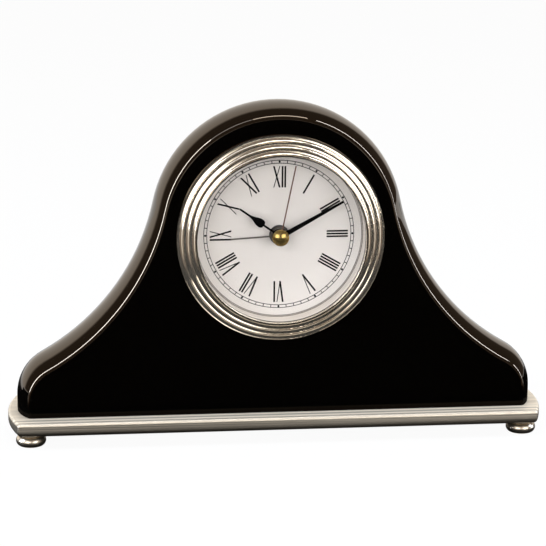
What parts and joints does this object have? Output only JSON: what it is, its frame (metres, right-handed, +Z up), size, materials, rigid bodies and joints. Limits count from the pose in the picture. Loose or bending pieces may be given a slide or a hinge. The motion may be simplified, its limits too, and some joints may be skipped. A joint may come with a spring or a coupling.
{
  "type": "shelf clock",
  "caption": "Hump-shouldered shelf clock in black lacquer on a plated base with bun feet, with a push-in quartz alarm insert whose hands turn through a gear train.",
  "frame": {"origin": "on the table under the middle of the clock", "axes": "+Z up, +X to the right seen from the front, +Y from the dial to the back"},
  "size_m": [0.1844, 0.037, 0.1154],
  "materials": {
    "black_lacquer": "polished piano lacquer",
    "plated_base": "brushed warm nickel plating",
    "plated_foot": "polished warm nickel plating",
    "plated_bezel": "polished warm nickel plating",
    "clear_glass": "clear polished",
    "dial_white": "satin warm white",
    "hand_black": "satin black",
    "hand_copper": "satin copper",
    "hand_grey": "satin dark grey",
    "cap_brass": "polished",
    "grip_rubber": "matte",
    "case_plastic": "fine moulded grain",
    "switch_plastic": "fine moulded grain",
    "wheel_plastic": "moulded acetal",
    "screw_steel": "zinc plated",
    "magnet": "ground",
    "soft_iron": "annealed",
    "coil_wire": "enamelled copper wire",
    "board_green": "solder mask",
    "chip_black": "moulded",
    "can_steel": "nickel plated",
    "sounder_plastic": "moulded"
  },
  "bodies": {
    "case": {"case_body": "black_lacquer", "base_plate": "plated_base", "case_screws": "screw_steel", "foot_front_left": "plated_foot", "foot_front_right": "plated_foot", "foot_rear_left": "plated_foot", "foot_rear_right": "plated_foot"},
    "insert": {"bezel": "plated_bezel", "lens_glass": "clear_glass", "reflector_ring": "plated_bezel", "dial": "dial_white", "grip_ring": "grip_rubber", "front_plate": "case_plastic", "middle_plate": "case_plastic", "movement_case": "case_plastic", "movement_screws": "screw_steel", "stator": "soft_iron", "coil_core": "soft_iron", "coil_bobbin": "wheel_plastic", "motor_coil": "coil_wire", "circuit_board": "board_green", "driver_chip": "chip_black", "quartz_crystal": "can_steel", "sounder": "sounder_plastic", "battery_cell": "can_steel", "battery_contact_minus": "can_steel", "battery_contact_plus": "can_steel"},
    "second": {"seconds_wheel": "wheel_plastic", "second_hand": "hand_copper", "second_hand_cap": "cap_brass"},
    "minute": {"cannon_pinion": "wheel_plastic", "minute_hand": "hand_black"},
    "hour": {"hour_wheel": "wheel_plastic", "hour_hand": "hand_black"},
    "alarm": {"alarm_wheel": "wheel_plastic", "alarm_hand": "hand_grey"},
    "third": {"third_wheel": "wheel_plastic"},
    "centre": {"centre_wheel": "wheel_plastic"},
    "intermediate": {"intermediate_wheel": "wheel_plastic"},
    "rotor": {"rotor_pinion": "wheel_plastic", "rotor_magnet": "magnet"},
    "motion": {"motion_wheel": "wheel_plastic"},
    "time_set": {"time_set_shaft": "wheel_plastic", "time_knob": "case_plastic"},
    "alarm_transfer": {"alarm_idler": "wheel_plastic"},
    "alarm_set": {"alarm_set_shaft": "wheel_plastic", "alarm_knob": "case_plastic"},
    "switch": {"alarm_switch": "switch_plastic"},
    "door": {"battery_door": "case_plastic"}
  },
  "joints": [
    {"name": "insert_pull", "type": "slide", "parent": "case", "child": "insert", "axis": [0, -1, 0], "range_m": [0, 0.015]},
    {"name": "second_spin", "type": "hinge", "parent": "insert", "child": "second", "pos_m": [0, 0, 0.0704], "axis": [0, 1, 0], "continuous": true},
    {"name": "minute_spin", "type": "hinge", "parent": "insert", "child": "minute", "pos_m": [0, 0, 0.0704], "axis": [0, 1, 0], "continuous": true},
    {"name": "hour_spin", "type": "hinge", "parent": "insert", "child": "hour", "pos_m": [0, 0, 0.0704], "axis": [0, 1, 0], "continuous": true},
    {"name": "alarm_spin", "type": "hinge", "parent": "insert", "child": "alarm", "pos_m": [0, 0, 0.0704], "axis": [0, 1, 0], "continuous": true},
    {"name": "third_spin", "type": "hinge", "parent": "insert", "child": "third", "pos_m": [0, 0, 0.0814], "axis": [0, 1, 0], "continuous": true},
    {"name": "centre_spin", "type": "hinge", "parent": "insert", "child": "centre", "pos_m": [0, 0, 0.0704], "axis": [0, 1, 0], "continuous": true},
    {"name": "intermediate_spin", "type": "hinge", "parent": "insert", "child": "intermediate", "pos_m": [0, 0, 0.06165], "axis": [0, 1, 0], "continuous": true},
    {"name": "rotor_spin", "type": "hinge", "parent": "insert", "child": "rotor", "pos_m": [-0.0075, 0, 0.06165], "axis": [0, 1, 0], "continuous": true},
    {"name": "motion_spin", "type": "hinge", "parent": "insert", "child": "motion", "pos_m": [0.0072, 0, 0.0704], "axis": [0, 1, 0], "continuous": true},
    {"name": "time_set_spin", "type": "hinge", "parent": "insert", "child": "time_set", "pos_m": [0.0144, 0, 0.0704], "axis": [0, 1, 0], "continuous": true},
    {"name": "alarm_transfer_spin", "type": "hinge", "parent": "insert", "child": "alarm_transfer", "pos_m": [-0.009, 0, 0.0704], "axis": [0, 1, 0], "continuous": true},
    {"name": "alarm_set_spin", "type": "hinge", "parent": "insert", "child": "alarm_set", "pos_m": [-0.015, 0, 0.0704], "axis": [0, 1, 0], "continuous": true},
    {"name": "switch_slide", "type": "slide", "parent": "insert", "child": "switch", "axis": [1, 0, 0], "range_m": [0, 0.004]},
    {"name": "door_turn", "type": "hinge", "parent": "insert", "child": "door", "pos_m": [0.0125, 0, 0.0549], "axis": [0, 1, 0], "range_deg": [0, 45]}
  ],
  "couplings": [
    {"joint": "third_spin", "follows": "second_spin", "ratio": -0.13333},
    {"joint": "centre_spin", "follows": "second_spin", "ratio": 0.016667},
    {"joint": "intermediate_spin", "follows": "second_spin", "ratio": -6},
    {"joint": "rotor_spin", "follows": "second_spin", "ratio": 30},
    {"joint": "motion_spin", "follows": "minute_spin", "ratio": -0.33333},
    {"joint": "hour_spin", "follows": "minute_spin", "ratio": 0.083333},
    {"joint": "time_set_spin", "follows": "minute_spin", "ratio": 1},
    {"joint": "alarm_transfer_spin", "follows": "alarm_spin", "ratio": -2},
    {"joint": "alarm_set_spin", "follows": "alarm_spin", "ratio": 2}
  ]
}
